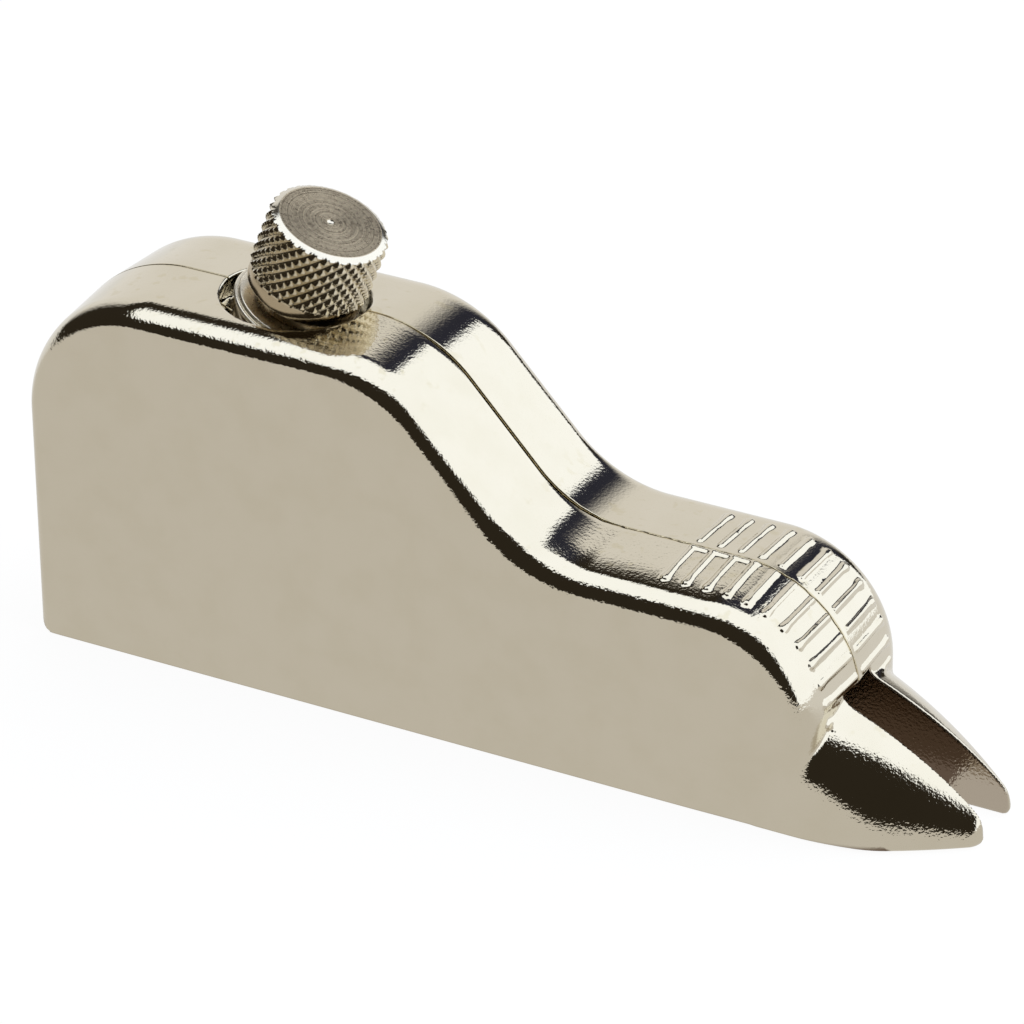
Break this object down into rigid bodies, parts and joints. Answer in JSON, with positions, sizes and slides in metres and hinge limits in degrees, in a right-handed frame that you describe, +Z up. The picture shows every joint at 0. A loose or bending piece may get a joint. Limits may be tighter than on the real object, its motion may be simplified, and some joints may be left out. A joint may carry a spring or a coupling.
{
  "type": "hand plane",
  "caption": "Small fork-nosed hand plane in two plated cast halves: humped body, ribbed finger rest, slotted bullet nose, and a knurled thumb screw that clamps a narrow low-angle blade.",
  "frame": {"origin": "on the sole, under the middle of the length and on the seam between the halves", "axes": "+X along the sole to the fork, +Y to the half with the screw heads, +Z up"},
  "size_m": [0.1106, 0.022, 0.0542],
  "materials": {
    "nickel_casting": "bright nickel plating on a die casting, a little uneven",
    "turned_nickel": "nickel plated, turned and diamond knurled",
    "bright_washer": "bright plated",
    "spring_wire": "drawn steel wire",
    "plain_steel": "turned steel",
    "tool_steel": "ground steel"
  },
  "bodies": {
    "body": {"right_body": "nickel_casting", "left_body": "nickel_casting", "square_nut": "plain_steel", "clamp_spring": "spring_wire", "body_screw_rear": "plain_steel", "body_screw_middle": "plain_steel", "body_screw_front": "plain_steel", "dowel_pin_rear": "plain_steel", "dowel_pin_front": "plain_steel"},
    "feed": {"pressure_pad": "plain_steel", "flat_washer": "bright_washer"},
    "screw": {"thumb_screw": "turned_nickel"},
    "cutter": {"blade": "tool_steel"}
  },
  "joints": [
    {"name": "screw_feed", "type": "slide", "parent": "body", "child": "feed", "axis": [0.3746, 0, 0.9272], "range_m": [0, 0.002], "deforming": ["clamp_spring"]},
    {"name": "screw_turn", "type": "hinge", "parent": "feed", "child": "screw", "pos_m": [-0.026, 0, 0.0427], "axis": [0.3746, 0, 0.9272], "range_deg": [0, 720]},
    {"name": "blade_slide", "type": "slide", "parent": "body", "child": "cutter", "axis": [0.9272, 0, -0.3746], "range_m": [-0.006, 0.001]}
  ],
  "couplings": [
    {"joint": "screw_turn", "follows": "screw_feed", "rad_per_m": 6283.2}
  ]
}
